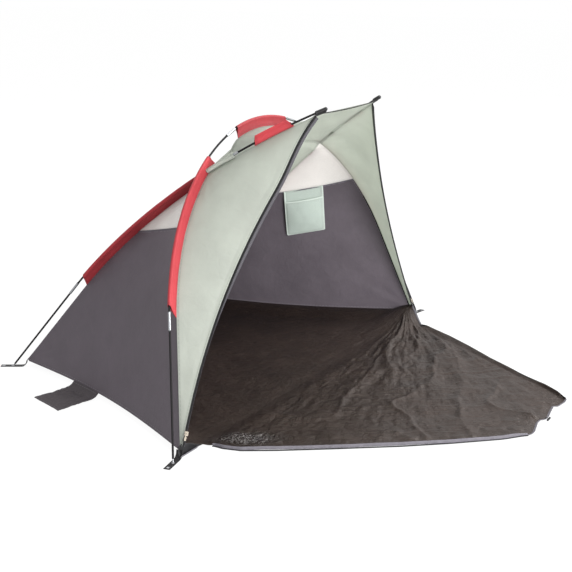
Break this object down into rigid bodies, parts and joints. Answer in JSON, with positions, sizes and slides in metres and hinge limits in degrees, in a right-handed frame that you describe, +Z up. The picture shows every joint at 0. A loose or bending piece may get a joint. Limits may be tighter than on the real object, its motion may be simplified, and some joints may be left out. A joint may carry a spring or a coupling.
{
  "type": "beach shelter",
  "caption": "Pole-framed beach shelter with a leaning hoop, two bowed roof poles in cloth sleeves, mesh windows, a sewn-in floor and a front flap that folds up and zips shut.",
  "frame": {"origin": "on the ground in the middle of the floor sheet", "axes": "+Z up, the open front faces -Y, +X to the right seen from the front"},
  "size_m": [2.1168, 2.231, 1.1698],
  "materials": {
    "pole_fibreglass": "smooth pultruded tube",
    "ferrule_steel": "plain drawn tube",
    "pin_steel": "plain wire and pressed rings",
    "shock_cord": "braided elastic",
    "sleeve_cloth": "plain weave",
    "wall_cloth": "coated plain weave",
    "window_mesh": "fine open net",
    "pocket_mesh": "sheer cloth",
    "panel_cloth": "coated plain weave",
    "floor_sheet": "shiny woven tape sheet",
    "webbing": "narrow woven tape",
    "zip_tape": "woven tape with a nylon coil",
    "zip_metal": "die cast",
    "toggle_plastic": "moulded"
  },
  "bodies": {
    "shelter": {"hoop_section_1": "pole_fibreglass", "hoop_section_2": "pole_fibreglass", "hoop_section_3": "pole_fibreglass", "hoop_section_4": "pole_fibreglass", "hoop_section_5": "pole_fibreglass", "hoop_section_6": "pole_fibreglass", "hoop_section_7": "pole_fibreglass", "left_roof_section_1": "pole_fibreglass", "left_roof_section_2": "pole_fibreglass", "left_roof_section_3": "pole_fibreglass", "left_roof_section_4": "pole_fibreglass", "right_roof_section_1": "pole_fibreglass", "right_roof_section_2": "pole_fibreglass", "right_roof_section_3": "pole_fibreglass", "right_roof_section_4": "pole_fibreglass", "hoop_ferrules": "ferrule_steel", "left_roof_ferrules": "ferrule_steel", "right_roof_ferrules": "ferrule_steel", "hoop_shock_cord": "shock_cord", "left_roof_shock_cord": "shock_cord", "right_roof_shock_cord": "shock_cord", "foot_pins": "pin_steel", "left_hoop_sleeve": "sleeve_cloth", "right_hoop_sleeve": "sleeve_cloth", "top_hoop_sleeve": "sleeve_cloth", "left_rear_sleeve": "sleeve_cloth", "right_rear_sleeve": "sleeve_cloth", "left_front_sleeve": "sleeve_cloth", "right_front_sleeve": "sleeve_cloth", "tip_pockets": "webbing", "left_wall": "wall_cloth", "right_wall": "wall_cloth", "left_mesh_window": "window_mesh", "right_mesh_window": "window_mesh", "left_front_panel": "panel_cloth", "right_front_panel": "panel_cloth", "roof_panel": "panel_cloth", "back_panel": "panel_cloth", "back_wall": "wall_cloth", "groundsheet": "floor_sheet", "front_binding": "webbing", "left_zip_tape": "zip_tape", "right_zip_tape": "zip_tape", "inner_pocket": "pocket_mesh", "front_left_strap": "webbing", "front_right_strap": "webbing", "rear_left_strap": "webbing", "rear_right_strap": "webbing", "pin_grommets": "pin_steel", "peg_eyelets": "pin_steel"},
    "front_flap": {"front_flap": "floor_sheet", "flap_zip_tapes": "zip_tape", "flap_toggle": "toggle_plastic"},
    "left_zip_slider": {"left_zip_slider": "zip_metal"},
    "right_zip_slider": {"right_zip_slider": "zip_metal"},
    "left_zip_pull": {"left_zip_pull": "zip_metal"},
    "right_zip_pull": {"right_zip_pull": "zip_metal"},
    "left_side_flap": {"left_side_flap": "wall_cloth"},
    "right_side_flap": {"right_side_flap": "wall_cloth"}
  },
  "joints": [
    {"name": "front_flap_fold", "type": "hinge", "parent": "shelter", "child": "front_flap", "pos_m": [0, -0.58, 0.0008], "axis": [-1, 0, 0], "range_deg": [0, 80]},
    {"name": "left_zip_run", "type": "hinge", "parent": "shelter", "child": "left_zip_slider", "pos_m": [0.59146, -2.94175, -0.50872], "axis": [0.7106, 0.5641, -0.4205], "range_deg": [0, 24.1]},
    {"name": "right_zip_run", "type": "hinge", "parent": "shelter", "child": "right_zip_slider", "pos_m": [-0.59146, -2.94175, -0.50872], "axis": [0.7106, -0.5641, 0.4205], "range_deg": [0, 24.1]},
    {"name": "left_pull_swing", "type": "hinge", "parent": "left_zip_slider", "child": "left_zip_pull", "pos_m": [-0.93234, -0.5894, 0.08694], "axis": [-0.5302, 0.8222, 0.207], "range_deg": [0, 165]},
    {"name": "right_pull_swing", "type": "hinge", "parent": "right_zip_slider", "child": "right_zip_pull", "pos_m": [0.93234, -0.5894, 0.08694], "axis": [-0.5302, -0.8222, -0.207], "range_deg": [0, 165]},
    {"name": "left_side_flap_fold", "type": "hinge", "parent": "shelter", "child": "left_side_flap", "pos_m": [-0.66659, 0.11602, 0.02603], "axis": [0.2751, 0.9614, 0], "range_deg": [0, 100]},
    {"name": "right_side_flap_fold", "type": "hinge", "parent": "shelter", "child": "right_side_flap", "pos_m": [0.66659, 0.11602, 0.02603], "axis": [0.2751, -0.9614, 0], "range_deg": [0, 100]}
  ]
}
